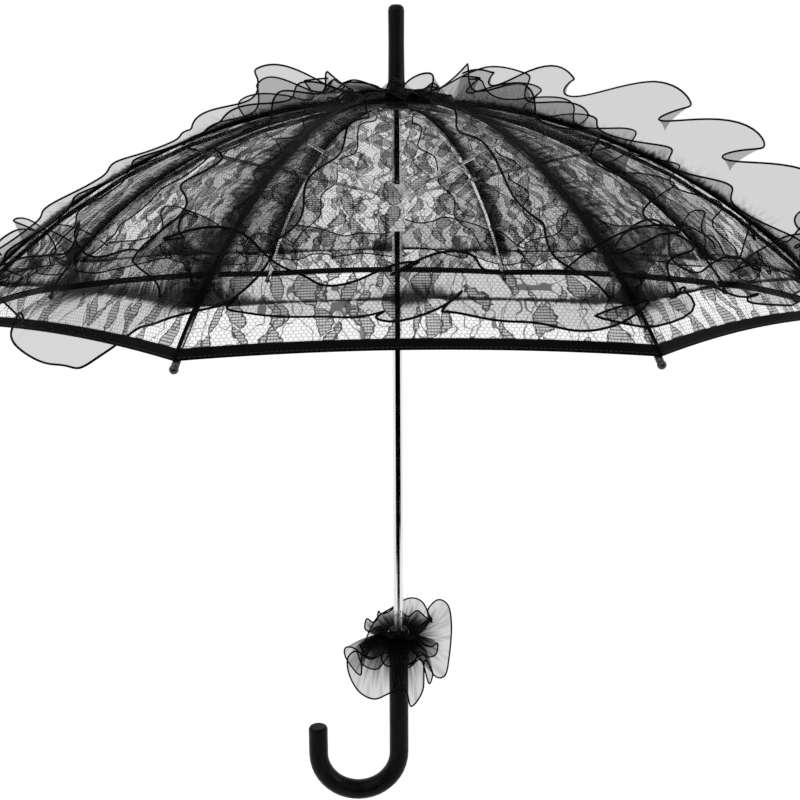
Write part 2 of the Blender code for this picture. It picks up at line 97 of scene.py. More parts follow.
# ---------------------------------------------------------------- camera and studio

# The camera's place is from the middle of the rib tips, in canopy radii
CANOPY_RADIUS = 0.410
CAMERA_TURN = math.radians(-2.295)
CAMERA_FROM_TIPS = Vector((0.0056, -2.6157, 0.2619)) * CANOPY_RADIUS
CAMERA_PITCH = math.radians(10.51)
CAMERA_ROLL = math.radians(-0.21)
CAMERA_LENS = 49.19
FLOOR_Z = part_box("handle")[0].z - 0.02
FLOOR_HALF = 9
CARD_HALF = 2.1
CARD_LOW = -0.42
CARD_HIGH = 0.90
CARD_Y = -1.2


def add_camera():
    data = bpy.data.cameras.new("camera")
    data.lens = CAMERA_LENS
    data.sensor_width = 36.0
    camera = bpy.data.objects.new("camera", data)
    turn = Matrix.Rotation(CAMERA_TURN, 4, "Z")
    place = Matrix.Translation(CAMERA_FROM_TIPS + turn.inverted() @ Vector((0, 0, TIP.z)))
    tilt = Matrix.Rotation(math.pi / 2 - CAMERA_PITCH, 4, "X") @ Matrix.Rotation(CAMERA_ROLL, 4, "Z")
    camera.matrix_world = turn @ place @ tilt
    bpy.context.scene.collection.objects.link(camera)
    bpy.context.scene.camera = camera


def add_area_light(name, place, aim, size, power):
    data = bpy.data.lights.new(name, "AREA")
    data.shape = "DISK"
    data.size = size
    data.energy = power
    light = bpy.data.objects.new(name, data)
    light.location = place
    light.rotation_euler = (Vector(aim) - Vector(place)).to_track_quat("-Z", "Y").to_euler()
    bpy.context.scene.collection.objects.link(light)


def add_studio():
    """A white world, a little dimmer for the light that it throws, two soft lights and a white floor."""
    world = bpy.data.worlds.new("studio")
    world.use_nodes = True
    background = world.node_tree.nodes["Background"]
    nodes = Nodes(world.node_tree)
    rays = nodes.add("ShaderNodeLightPath")
    strength = nodes.math("MULTIPLY_ADD", rays.outputs["Is Diffuse Ray"], -0.15, 1.0)
    nodes.link(strength, background.inputs["Strength"])
    background.inputs["Color"].default_value = (1.0, 1.0, 1.0, 1.0)
    scene = bpy.context.scene
    scene.world = world
    scene.view_settings.view_transform = "Standard"
    scene.cycles.transparent_max_bounces = 48
    scene.cycles.max_bounces = 8
    add_area_light("key", (-1.6, -1.8, 2.2), (0, 0, 0.4), 1.2, 22)
    add_area_light("side", (2.2, -0.8, 1.2), (0, 0, 0.3), 0.9, 12)
    add_floor()
    add_dark_card()


def add_floor():
    corners = [(x * FLOOR_HALF, y * FLOOR_HALF, FLOOR_Z) for x, y in ((-1, -1), (1, -1), (1, 1), (-1, 1))]
    floor = mesh_object("floor", corners, [(0, 1, 2, 3)])
    look, shader, _ = new_material("floor")
    shader.inputs["Base Color"].default_value = (0.05, 0.05, 0.05, 1)
    shader.inputs["Roughness"].default_value = 0.9
    shader.inputs["Specular IOR Level"].default_value = 0.0
    shader.inputs["Emission Color"].default_value = (1, 1, 1, 1)
    shader.inputs["Emission Strength"].default_value = 1.0
    floor.data.materials.append(look)
    floor.visible_diffuse = False
    floor.visible_glossy = False


def add_dark_card():
    """A black card beside the camera that only reflections see: chrome needs something dark to mirror."""
    turn = Matrix.Rotation(CAMERA_TURN, 4, "Z")
    flat = ((-CARD_HALF, CARD_LOW), (CARD_HALF, CARD_LOW), (CARD_HALF, CARD_HIGH), (-CARD_HALF, CARD_HIGH))
    corners = [turn @ Vector((x, CARD_Y, z)) for x, z in flat]
    card = mesh_object("dark_card", corners, [(0, 1, 2, 3)])
    look, shader, _ = new_material("dark_card")
    shader.inputs["Base Color"].default_value = (0.0, 0.0, 0.0, 1)
    shader.inputs["Specular IOR Level"].default_value = 0.0
    card.data.materials.append(look)
    card.visible_camera = False
    card.visible_diffuse = False
    card.visible_transmission = False
    card.visible_shadow = False


# ---------------------------------------------------------------- meshes


def mesh_object(name, points, faces, smooth=False):
    mesh = bpy.data.meshes.new(name)
    mesh.from_pydata([tuple(p) for p in points], [], faces)
    mesh.update()
    if smooth:
        mesh.shade_smooth()
    obj = bpy.data.objects.new(name, mesh)
    bpy.context.scene.collection.objects.link(obj)
    return obj


def grid_faces(rows, columns, closed=False):
    faces = []
    for i in range(rows - 1):
        for j in range(columns if closed else columns - 1):
            k = (j + 1) % columns
            faces.append((i * columns + j, i * columns + k, (i + 1) * columns + k, (i + 1) * columns + j))
    return faces


def set_uvs(obj, name, values):
    """One (u, v) pair for each vertex."""
    layer = obj.data.uv_layers.new(name=name)
    pick = np.empty(len(obj.data.loops), np.int32)
    obj.data.loops.foreach_get("vertex_index", pick)
    layer.data.foreach_set("uv", np.asarray(values, np.float32)[pick].ravel())


def tube(name, path, radius, sides=6, closed=False):
    """A round cord through the points of a path."""
    path = np.asarray(path, float)
    count = len(path)
    if closed:
        ahead, behind = np.roll(path, -1, 0), np.roll(path, 1, 0)
    else:
        ahead = np.vstack([path[1:], 2 * path[-1] - path[-2]])
        behind = np.vstack([2 * path[0] - path[1], path[:-1]])
    along = ahead - behind
    along /= np.linalg.norm(along, axis=1)[:, None]
    side = np.cross(along[0], (0.31, 0.52, 0.79))
    points = []
    for i in range(count):
        side = side - along[i] * (side @ along[i])
        side = side / np.linalg.norm(side)
        up = np.cross(along[i], side)
        for j in range(sides):
            turn = 2 * math.pi * j / sides
            points.append(path[i] + radius * (math.cos(turn) * side + math.sin(turn) * up))
    faces = grid_faces(count, sides, closed=True)
    if closed:
        last = (count - 1) * sides
        for j in range(sides):
            k = (j + 1) % sides
            faces.append((last + j, last + k, k, j))
    else:
        faces.append(tuple(range(sides))[::-1])
        faces.append(tuple(range((count - 1) * sides, count * sides)))
    return mesh_object(name, points, faces, smooth=True)


# ---------------------------------------------------------------- material nodes


def new_material(name):
    look = bpy.data.materials.new(name)
    look.use_nodes = True
    tree = look.node_tree
    return look, tree.nodes["Principled BSDF"], tree


class Nodes:
    """Short calls that add a node to a tree and link its inputs."""

    def __init__(self, tree):
        self.tree = tree

    def add(self, kind, inputs=(), **settings):
        node = self.tree.nodes.new(kind)
        for name, value in settings.items():
            setattr(node, name, value)
        for key, value in dict(inputs).items():
            socket = node.inputs[key]
            if isinstance(value, bpy.types.NodeSocket):
                self.tree.links.new(value, socket)
            else:
                socket.default_value = value
        return node

    def math(self, operation, a, b=0.0, c=0.0):
        return self.add("ShaderNodeMath", {0: a, 1: b, 2: c}, operation=operation).outputs[0]

    def vector(self, operation, a, b=(0, 0, 0), c=(0, 0, 0)):
        node = self.add("ShaderNodeVectorMath", {0: a, 1: b, 2: c}, operation=operation)
        return node.outputs["Value" if operation in ("DOT_PRODUCT", "LENGTH") else "Vector"]

    def ramp(self, value, low, high, start=0.0, end=1.0):
        """start below low, end above high, and smooth between."""
        keys = {"Value": value, "From Min": low, "From Max": high, "To Min": start, "To Max": end}
        return self.add("ShaderNodeMapRange", keys, interpolation_type="SMOOTHSTEP").outputs["Result"]

    def noise(self, vector, scale, detail, output="Fac"):
        keys = {"Vector": vector, "Scale": scale, "Detail": detail}
        return self.add("ShaderNodeTexNoise", keys).outputs[output]

    def mix_colour(self, share, first, second):
        node = self.add("ShaderNodeMix", data_type="RGBA")
        for socket, value in ((node.inputs[0], share), (node.inputs[6], first), (node.inputs[7], second)):
            if isinstance(value, bpy.types.NodeSocket):
                self.tree.links.new(value, socket)
            else:
                socket.default_value = value
        return node.outputs[2]

    def bump(self, height, distance, strength=1.0):
        keys = {"Height": height, "Distance": distance, "Strength": strength}
        return self.add("ShaderNodeBump", keys).outputs["Normal"]

    def link(self, value, socket):
        self.tree.links.new(value, socket)


def object_coordinates(nodes):
    return nodes.add("ShaderNodeTexCoord").outputs["Object"]


def hexagon_lines(nodes, place, pitch, width):
    """1 on the threads of a hexagonal net whose cells are pitch across, and 0 between them."""
    step = (pitch, pitch * math.sqrt(3), 1.0)
    half = tuple(s / 2 for s in step)
    nearest = []
    for shift in ((0, 0, 0), half):
        moved = nodes.vector("SUBTRACT", place, shift)
        wrapped = nodes.vector("WRAP", moved, half, tuple(-h for h in half))
        nearest.append(wrapped)
    lengths = [nodes.vector("LENGTH", nodes.vector("MULTIPLY", n, (1, 1, 0))) for n in nearest]
    first = nodes.math("LESS_THAN", lengths[0], lengths[1])
    picked = nodes.add("ShaderNodeMix", data_type="VECTOR")
    nodes.link(first, picked.inputs[0])
    nodes.link(nearest[1], picked.inputs[4])
    nodes.link(nearest[0], picked.inputs[5])
    size = nodes.vector("ABSOLUTE", picked.outputs[1])
    straight = nodes.vector("DOT_PRODUCT", size, (1, 0, 0))
    slanted = nodes.vector("DOT_PRODUCT", size, (0.5, math.sqrt(3) / 2, 0))
    reach = nodes.math("MAXIMUM", straight, slanted)
    return nodes.ramp(reach, pitch / 2 - width, pitch / 2 - width * 0.3)


# Black floral lace: its threads and leaves, in metres on the flat panel
NET_PITCH = 0.0033
NET_THREAD = 0.00042
LADDER_RUNG = 0.0025
LADDER_POST = 0.0021
LEAF_EDGE = (0.00075, 0.00040)
LEAF_STALK = (0.00065, 0.00030)
LEAF_START = 7.0  # how far, in leaves, the columns may start out of step
# Two chains of leaves: column spacing, leaf length, half width, sway, seed, and the share of leaves that show
LEAF_CHAINS = (
    (0.0250, 0.029, 0.0072, 0.0040, 0.2, 0.70),
    (0.0190, 0.019, 0.0042, 0.0050, 9.6, 0.46),
)
# The share of the light that each kind of thread stops
GROUND_COVER = 0.07
NET_COVER = 0.55
EDGE_COVER = 0.92
STALK_COVER = 0.72
LOOSE_CORD_COVER = 0.80
LACE_BLACKS = ((0.0040, 0.0038, 0.0040, 1), (0.0016, 0.0015, 0.0016, 1))

# Organza, covers as above. By the gathers and along the folds the cloth stops more light, as bunched cloth
# does, and its colour is darker there, which is painted shade
PLEATS = 130.0  # gathers in a metre of strip
GATHER_END = (0.05, 0.40)  # where the closed gathers fade out, as shares of the way to clear cloth
FOLD_END = (0.05, 0.70)
CLEAR_COVER = 0.29
WEAVE_COVER = 0.12
FOLD_COVER = 0.26
GATHER_COVER = 0.97
ORGANZA_BLACK_AND_SHADE = ((0.0080, 0.0076, 0.0086, 1), (0.0022, 0.0016, 0.0016, 1))

# Satin, cord and binding
SATIN_BLACK_AND_CREASE_SHADE = ((0.0006, 0.0006, 0.0007, 1), (0.0030, 0.0029, 0.0034, 1))
CORD_BLACKS = ((0.0008, 0.0008, 0.0008, 1), (0.0032, 0.0028, 0.0032, 1))
BINDING_BLACKS = ((0.0008, 0.0008, 0.0008, 1), (0.0028, 0.0028, 0.0030, 1))
STITCH_GREY = (0.025, 0.025, 0.027, 1)
STITCH = 0.0030


def leaf_chain(nodes, place, spacing, length, half_width, sway, seed):
    """Leaves end to end down wandering columns: (distance outside a leaf's edge, distance from the column's
    middle line, a random share for each leaf), the distances in metres."""
    parts = nodes.add("ShaderNodeSeparateXYZ", {"Vector": place})
    shifted = nodes.math("MULTIPLY_ADD", parts.outputs["X"], 1 / spacing, seed)
    column = nodes.math("FLOOR", shifted)
    own = nodes.add("ShaderNodeTexWhiteNoise", {"W": column}, noise_dimensions="1D").outputs["Value"]
    leaves = nodes.math("MULTIPLY", parts.outputs["Y"], 1 / length)
    row = nodes.math("ADD", leaves, nodes.math("MULTIPLY", own, LEAF_START))
    along = nodes.math("FRACT", row)
    cell = nodes.add("ShaderNodeCombineXYZ", {"X": column, "Y": nodes.math("FLOOR", row)}).outputs["Vector"]
    chance = nodes.add("ShaderNodeTexWhiteNoise", {"Vector": cell}, noise_dimensions="2D").outputs["Value"]
    bend = nodes.math("SINE", nodes.math("MULTIPLY", row, 2 * math.pi * 0.37))
    from_middle = nodes.math("MULTIPLY", nodes.math("SUBTRACT", nodes.math("FRACT", shifted), 0.5), spacing)
    middle = nodes.math("ABSOLUTE", nodes.math("MULTIPLY_ADD", bend, sway, from_middle))
    bulge = nodes.math("POWER", nodes.math("SINE", nodes.math("MULTIPLY", along, math.pi)), 0.8)
    width = nodes.math("MULTIPLY", nodes.math("MULTIPLY_ADD", chance, 0.5, 0.6), half_width)
    return nodes.math("SUBTRACT", middle, nodes.math("MULTIPLY", bulge, width)), middle, chance


def lace_material():
    """Black floral net: a hexagonal ground, chains of leaves filled with a ladder, and loose cords."""
    look, shader, tree = new_material("floral_lace")
    nodes = Nodes(tree)
    place = nodes.add("ShaderNodeUVMap", uv_map="lace").outputs["UV"]
    parts = nodes.add("ShaderNodeSeparateXYZ", {"Vector": place})
    broad = nodes.vector("SUBTRACT", nodes.noise(place, 30.0, 0.0, "Color"), (0.5, 0.5, 0.5))
    fine = nodes.vector("SUBTRACT", nodes.noise(place, 260.0, 1.0, "Color"), (0.5, 0.5, 0.5))
    curved = nodes.vector("MULTIPLY_ADD", broad, (0.022, 0.020, 0.0), place)
    ragged = nodes.vector("MULTIPLY_ADD", fine, (0.0042, 0.0042, 0.0), curved)
    uneven = nodes.vector("MULTIPLY_ADD", fine, (0.0016, 0.0016, 0), place)
    net = hexagon_lines(nodes, uneven, NET_PITCH, NET_THREAD)
    rungs = nodes.math("PINGPONG", nodes.math("MULTIPLY", parts.outputs["Y"], 1 / LADDER_RUNG), 0.5)
    posts = nodes.math("PINGPONG", nodes.math("MULTIPLY", parts.outputs["X"], 1 / LADDER_POST), 0.5)
    uprights = nodes.math("MULTIPLY", nodes.ramp(posts, 0.32, 0.46), 0.7)
    ladder = nodes.math("MAXIMUM", nodes.ramp(rungs, 0.26, 0.40), uprights)
    threads = nodes.math("MAXIMUM", nodes.math("MULTIPLY", net, NET_COVER), GROUND_COVER)
    for *chain, kept in LEAF_CHAINS:
        outside, middle, chance = leaf_chain(nodes, ragged, *chain)
        shown = nodes.math("LESS_THAN", chance, kept)
        inside = nodes.math("MULTIPLY", nodes.ramp(outside, 0.0002, -0.0002), shown)
        edge = nodes.math("MULTIPLY", nodes.ramp(nodes.math("ABSOLUTE", outside), *LEAF_EDGE), shown)
        stalk = nodes.ramp(middle, *LEAF_STALK)
        stalk = nodes.math("MULTIPLY", stalk, nodes.math("SUBTRACT", 1.0, inside))
        filled = nodes.math("MULTIPLY", inside, nodes.math("MULTIPLY_ADD", ladder, 0.52, 0.38))
        threads = nodes.math("MAXIMUM", threads, filled)
        threads = nodes.math("MAXIMUM", threads, nodes.math("MULTIPLY", edge, EDGE_COVER))
        threads = nodes.math("MAXIMUM", threads, nodes.math("MULTIPLY", stalk, STALK_COVER))
    loose = nodes.noise(nodes.vector("MULTIPLY", place, (52, 34, 1)), 1.0, 1.0)
    cord = nodes.ramp(nodes.math("ABSOLUTE", nodes.math("SUBTRACT", loose, 0.5)), 0.009, 0.004)
    threads = nodes.math("MAXIMUM", threads, nodes.math("MULTIPLY", cord, LOOSE_CORD_COVER))
    nodes.link(threads, shader.inputs["Alpha"])
    colour = nodes.mix_colour(threads, *LACE_BLACKS)
    nodes.link(colour, shader.inputs["Base Color"])
    nodes.link(nodes.bump(threads, 0.0002, 0.6), shader.inputs["Normal"])
    nodes.link(nodes.ramp(fine, 0.3, 0.7, 0.70, 0.85), shader.inputs["Roughness"])
    shader.inputs["Specular IOR Level"].default_value = 0.01
    return look


def organza_material():
    """Sheer black organza. UV u runs along the strip, and v from the gathers at 0 to clear cloth at 1. By the
    gathers and along the folds the cloth is denser and its colour darker: the density is the bunched cloth,
    the darker colour is painted shade.
    """
    look, shader, tree = new_material("organza")
    nodes = Nodes(tree)
    place = nodes.add("ShaderNodeUVMap", uv_map="strip").outputs["UV"]
    parts = nodes.add("ShaderNodeSeparateXYZ", {"Vector": place})
    height = parts.outputs["Y"]
    pleats = nodes.noise(nodes.vector("MULTIPLY", place, (PLEATS, 1.1, 1.0)), 1.0, 2.0)
    ragged = nodes.math("MULTIPLY_ADD", nodes.math("SUBTRACT", pleats, 0.5), 0.36, height)
    # The band by the gathers: denser cloth, and a darkened colour that is painted shade
    shaded_gathers = nodes.ramp(ragged, *GATHER_END, 1.0, 0.0)
    spread = nodes.ramp(height, *FOLD_END, 1.0, 0.0)
    folds = nodes.math("MULTIPLY", spread, nodes.ramp(pleats, 0.42, 0.66))
    weave = nodes.noise(nodes.vector("MULTIPLY", place, (1500.0, 60.0, 1.0)), 1.0, 1.0)
    alpha = nodes.math("MULTIPLY_ADD", weave, WEAVE_COVER, CLEAR_COVER)
    alpha = nodes.math("MAXIMUM", alpha, nodes.math("MULTIPLY_ADD", folds, FOLD_COVER, alpha))
    alpha = nodes.math("MAXIMUM", alpha, nodes.math("MULTIPLY", shaded_gathers, GATHER_COVER))
    nodes.link(alpha, shader.inputs["Alpha"])
    # Darker colour in the gathers and folds: painted shade
    colour = nodes.mix_colour(nodes.math("MAXIMUM", shaded_gathers, folds), *ORGANZA_BLACK_AND_SHADE)
    nodes.link(colour, shader.inputs["Base Color"])
    nodes.link(nodes.bump(pleats, 0.0006, 0.5), shader.inputs["Normal"])
    nodes.link(nodes.ramp(weave, 0.3, 0.7, 0.50, 0.65), shader.inputs["Roughness"])
    shader.inputs["Specular IOR Level"].default_value = 0.015
    return look


def satin_material():
    """Black satin: fine twisted threads, soft creases, and a broad dull highlight. Its colour is lighter
    along the creases' ridges and darker in their hollows: painted highlight and shade.
    """
    look, shader, tree = new_material("black_satin")
    nodes = Nodes(tree)
    place = object_coordinates(nodes)
    creases = nodes.noise(nodes.vector("MULTIPLY", place, (160, 160, 28)), 1.0, 3.0)
    weave = nodes.noise(nodes.vector("MULTIPLY", place, (1400.0, 1400.0, 3200.0)), 1.0, 0.0)
    blotch = nodes.noise(place, 90.0, 2.0)
    # Lighter along the vertical crease ridges, darker in their hollows: painted highlight and shade
    colour = nodes.mix_colour(nodes.ramp(creases, 0.35, 0.7), *SATIN_BLACK_AND_CREASE_SHADE)
    nodes.link(colour, shader.inputs["Base Color"])
    nodes.link(nodes.ramp(blotch, 0.3, 0.7, 0.28, 0.46), shader.inputs["Roughness"])
    height = nodes.math("MULTIPLY_ADD", weave, 0.25, creases)
    nodes.link(nodes.bump(height, 0.0006, 0.55), shader.inputs["Normal"])
    shader.inputs["Specular IOR Level"].default_value = 0.08
    return look


def cord_material():
    """Twisted black cord."""
    look, shader, tree = new_material("black_cord")
    nodes = Nodes(tree)
    place = object_coordinates(nodes)
    twist = nodes.noise(place, 1100.0, 1.0)
    nodes.link(nodes.mix_colour(twist, *CORD_BLACKS), shader.inputs["Base Color"])
    nodes.link(nodes.bump(twist, 0.0002, 0.6), shader.inputs["Normal"])
    shader.inputs["Roughness"].default_value = 0.6
    shader.inputs["Specular IOR Level"].default_value = 0.03
    return look


def binding_material():
    """Folded black satin binding with a line of stitches along it. UV v runs across the binding."""
    look, shader, tree = new_material("hem_binding")
    nodes = Nodes(tree)
    place = nodes.add("ShaderNodeUVMap", uv_map="strip").outputs["UV"]
    parts = nodes.add("ShaderNodeSeparateXYZ", {"Vector": place})
    from_line = nodes.math("ABSOLUTE", nodes.math("SUBTRACT", parts.outputs["Y"], 0.82))
    near_line = nodes.ramp(from_line, 0.05, 0.02)
    dash = nodes.math("PINGPONG", nodes.math("MULTIPLY", parts.outputs["X"], 1 / STITCH), 0.5)
    stitches = nodes.math("MULTIPLY", near_line, nodes.ramp(dash, 0.12, 0.20))
    ribbing = nodes.noise(nodes.vector("MULTIPLY", place, (900.0, 3.0, 1.0)), 1.0, 1.0)
    colour = nodes.mix_colour(ribbing, *BINDING_BLACKS)
    nodes.link(nodes.mix_colour(stitches, colour, STITCH_GREY), shader.inputs["Base Color"])
    nodes.link(nodes.bump(nodes.math("SUBTRACT", ribbing, stitches), 0.0003, 0.6), shader.inputs["Normal"])
    shader.inputs["Roughness"].default_value = 0.6
    shader.inputs["Specular IOR Level"].default_value = 0.03
    return look


def metal_material(name, colour, dark, roughness, streaks):
    """Plated metal with drawn streaks along its length and a little uneven polish."""
    look, shader, tree = new_material(name)
    nodes = Nodes(tree)
    place = object_coordinates(nodes)
    drawn = nodes.noise(nodes.vector("MULTIPLY", place, streaks), 1.0, 2.0)
    cloudy = nodes.noise(place, 60.0, 2.0)
    nodes.link(nodes.mix_colour(nodes.ramp(drawn, 0.3, 0.7), colour, dark), shader.inputs["Base Color"])
    nodes.link(nodes.ramp(cloudy, 0.3, 0.7, roughness * 0.7, roughness * 1.4), shader.inputs["Roughness"])
    nodes.link(nodes.bump(drawn, 0.0001, 0.25), shader.inputs["Normal"])
    shader.inputs["Metallic"].default_value = 1.0
    return look


def plastic_material(name, colour, shade, roughness):
    """Moulded plastic with faint flow marks and a fine skin."""
    look, shader, tree = new_material(name)
    nodes = Nodes(tree)
    place = object_coordinates(nodes)
    flow = nodes.noise(nodes.vector("MULTIPLY", place, (90, 90, 30)), 1.0, 2.0)
    skin = nodes.noise(place, 900.0, 1.0)
    nodes.link(nodes.mix_colour(nodes.ramp(flow, 0.3, 0.7), colour, shade), shader.inputs["Base Color"])
    nodes.link(nodes.ramp(skin, 0.3, 0.7, roughness * 0.8, roughness * 1.3), shader.inputs["Roughness"])
    nodes.link(nodes.bump(skin, 0.0001, 0.3), shader.inputs["Normal"])
    return look


# ---------------------------------------------------------------- lace canopy


def on_canopy(k, angle, side, share, lift=0.0):
    """A point of the canopy. angle is from the top along the rib, and share is 0 on rib k and 1 half way to
    its neighbour."""
    out, across = rib_axes(k)
    progress = (angle - INNER_ANGLE) / (HEM_ANGLE - INNER_ANGLE)
    radius = CANOPY_ARC * math.sin(angle) - HEM_DIP * progress * share * (2 - share)
    angle = math.asin(max(radius, 0.0) / CANOPY_ARC)
    reach = CANOPY_ARC + lift
    rib_radius = reach * math.sin(angle)
    run = share * rib_radius * math.sin(HALF_SECTOR)
    place = out * (rib_radius - run * math.sin(HALF_SECTOR)) + across * (side * run * math.cos(HALF_SECTOR))
    return Vector((place.x, place.y, ARC_Z + reach * math.cos(angle)))


PUCKER = 0.0011
PUCKER_RATE = 260  # waves, in radians of phase, for each radian of canopy


def pucker(angle, side, share, k):
    """The small waves that the stitching draws up beside a seam, in metres."""
    near = math.exp(-share / 0.16) * min(1.0, share / 0.03)
    return PUCKER * near * math.sin(angle * PUCKER_RATE + side * 1.3 + k * 2.1)


LACE_ROWS = 60
LACE_COLUMNS = 22
PANEL_UV_STEP = 0.9  # keeps the panels' patterns apart


def add_lace(k, look):
    """The two half panels beside rib k."""
    rows, columns = LACE_ROWS, LACE_COLUMNS
    points, uvs, faces = [], [], []
    for side in (-1, 1):
        panel = k if side > 0 else (k - 2) % 8 + 1
        first = len(points)
        for i in range(rows):
            angle = INNER_ANGLE + (HEM_ANGLE - INNER_ANGLE) * i / (rows - 1)
            for j in range(columns):
                share = j / (columns - 1)
                points.append(on_canopy(k, angle, side, share, pucker(angle, side, share, k)))
                half_width = CANOPY_ARC * math.sin(angle) * math.sin(HALF_SECTOR)
                uvs.append((PANEL_UV_STEP * panel - side * half_width * (1 - share), CANOPY_ARC * angle))
        for face in grid_faces(rows, columns):
            face = tuple(first + v for v in face)
            faces.append(face if side > 0 else face[::-1])
    lace = mesh_object(f"lace_{k}", points, faces, smooth=True)
    set_uvs(lace, "lace", uvs)
    lace.data.materials.append(look)
    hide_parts(f"canopy_{k}")
    return lace


SEAM_POINTS = 60
SEAM_RADIUS = 0.0013
SEAM_LIFT = 0.0007


def add_seam(k, look):
    """The narrow dark seam where two panels meet over a rib: a half-round roll of cloth."""
    path = []
    for i in range(SEAM_POINTS):
        angle = INNER_ANGLE + (HEM_ANGLE - INNER_ANGLE) * i / (SEAM_POINTS - 1)
        path.append(on_canopy(k, angle, 1, 0.0, SEAM_LIFT))
    seam = tube(f"seam_{k}", path, SEAM_RADIUS, 8)
    seam.data.materials.append(look)
    return seam


SLEEVE_RADIUS = 0.0026
SLEEVE_REACH = 0.004  # radians of canopy, on both sides of the hem


def add_tip_sleeve(k, look):
    """The black sleeve between the hem's corner and the ball on the rib's end."""
    ends = (HEM_ANGLE - SLEEVE_REACH, HEM_ANGLE + SLEEVE_REACH)
    path = [on_canopy(k, angle, 1, 0.0, -CLOTH_OVER_RIB) for angle in ends]
    path.append(middle_of(f"rib_tip_{k}"))
    sleeve = tube(f"tip_sleeve_{k}", path, SLEEVE_RADIUS, 12)
    sleeve.data.materials.append(look)
    return sleeve


BINDING_COLUMNS = 41
BINDING_PAST_HEM = 0.0006
HALF_HEM = 0.145
# The binding's section: how far back from its fold, in hem widths, and how far out of the cloth, in metres
BINDING_SECTION = (
    (-1.0, 0.0009),
    (-0.5, 0.0011),
    (-0.06, 0.0010),
    (0.0, 0.0),
    (-0.06, -0.0008),
    (-0.5, -0.0009),
    (-1.0, -0.0007),
)


def add_binding(k, look):
    """The folded binding round one sector's hem: a flat strip doubled over the cloth's edge."""
    points, uvs = [], []
    for back, lift in BINDING_SECTION:
        angle = HEM_ANGLE + (BINDING_PAST_HEM + back * HEM_WIDTH) / CANOPY_ARC
        for j in range(BINDING_COLUMNS):
            w = -1 + 2 * j / (BINDING_COLUMNS - 1)
            side = 1 if w > 0 else -1
            points.append(on_canopy(k, angle, side, abs(w), lift))
            uvs.append((w * HALF_HEM + k * 0.7, 1 + back if lift >= 0 else -back))
    faces = grid_faces(len(BINDING_SECTION), BINDING_COLUMNS)
    binding = mesh_object(f"hem_binding_{k}", points, faces, smooth=True)
    set_uvs(binding, "strip", uvs)
    binding.data.materials.append(look)
    return binding


# ---------------------------------------------------------------- frills

CORD_RADIUS = 0.00085
FRILL_ROWS = 14


def flounce_rows(line, width, opening, phase, sway, push, lag=0.4):
    """The rows of a flounce from its gathers to its free edge. line is the gathered line's points and three
    directions: along it, flat on the cloth below, and up from that cloth. The flounce opens from flat by
    opening. Its edge waves by sway out of its own plane and by push along the line, lag behind."""
    base, along, flat, up = line
    rows = []
    for v in np.linspace(0, 1, FRILL_ROWS):
        out = sway * v**1.1 * np.sin(phase)
        down = push * v**1.6 * np.sin(phase + lag)
        reach = np.sqrt(np.maximum((width * v) ** 2 - out**2 - 0.4 * down**2, (0.4 * width * v) ** 2))
        reach = reach * (1 + 0.5 * push / width * v * np.sin(phase + lag + 0.5))
        across = reach * np.cos(opening) - out * np.sin(opening)
        rise = reach * np.sin(opening) + out * np.cos(opening)
        rise = 0.5 * (rise + np.sqrt(rise**2 + (0.004 * v) ** 2))
        rows.append(base + flat * across[:, None] + up * rise[:, None] + along * down[:, None])
    return np.array(rows)


def run_along(points):
    return np.concatenate([[0], np.cumsum(np.linalg.norm(np.diff(points, axis=0), axis=1))])


def wandering(run, pitch, seed, low, high):
    """A smooth random run of values between low and high, one new value each pitch."""
    rng = np.random.default_rng(seed)
    knots = np.arange(int(run[-1] / pitch) + 4)
    values = rng.uniform(low, high, len(knots))
    at = run / pitch
    first = np.floor(at).astype(int)
    ease = (1 - np.cos(math.pi * (at - first))) / 2
    return values[first] * (1 - ease) + values[first + 1] * ease


def add_flounce(name, grid, run, gather_and_shade=1.0, closed=False, fullness=2.2):
    """The cloth of one flounce and, as a separate piece, the cord along its free edge. Where the gathering
    value is over 1 the dense gathers, with the painted shade that darkens them, reach further towards the
    edge."""
    rows, columns = grid.shape[:2]
    cloth = mesh_object(name, grid.reshape(-1, 3), grid_faces(rows, columns, closed), smooth=True)
    shaded_gathers = np.broadcast_to(gather_and_shade, columns)
    uvs = [(run[j] * fullness, i / (rows - 1) / shaded_gathers[j]) for i in range(rows) for j in range(columns)]
    set_uvs(cloth, "strip", uvs)
    return cloth, tube(name + "_cord", grid[-1], CORD_RADIUS, 6, closed)


def rib_line(k, first, last, count, lift):
    """Points along a rib's seam, with the direction down the rib, across it and out of the cloth."""
    out, across = rib_axes(k)
    angles = np.linspace(first, last, count)
    reach = CANOPY_ARC + lift
    o, c, z = (np.array(v) for v in (out, across, (0, 0, 1)))
    base = np.outer(reach * np.sin(angles), o) + np.outer(ARC_Z + reach * np.cos(angles), z)
    along = np.outer(np.cos(angles), o) - np.outer(np.sin(angles), z)
    up = np.outer(np.sin(angles), o) + np.outer(np.cos(angles), z)
    return base, along, np.tile(c, (count, 1)), up


# How far each rib's two flounces open from the cloth, in degrees: near the top, and near the hem.
SEAM_OPENING = {
    1: ((30, 10), (50, 14)),
    2: ((60, 10), (84, 80)),
    3: ((50, 22), (72, 40)),
    4: ((20, 16), (20, 16)),
    5: ((20, 16), (20, 16)),
    6: ((76, 3), (60, 3)),
    7: ((72, 3), (24, 4)),
    8: ((34, 8), (22, 12)),
}
SEAM_WIDTH = 0.050
SEAM_PITCH = 0.072
SEAM_COLUMNS = 170
SEAM_START = 0.058  # metres of arc from the top
SEAM_END = 0.046  # and short of the tip
GATHER_LIFT = 0.0016


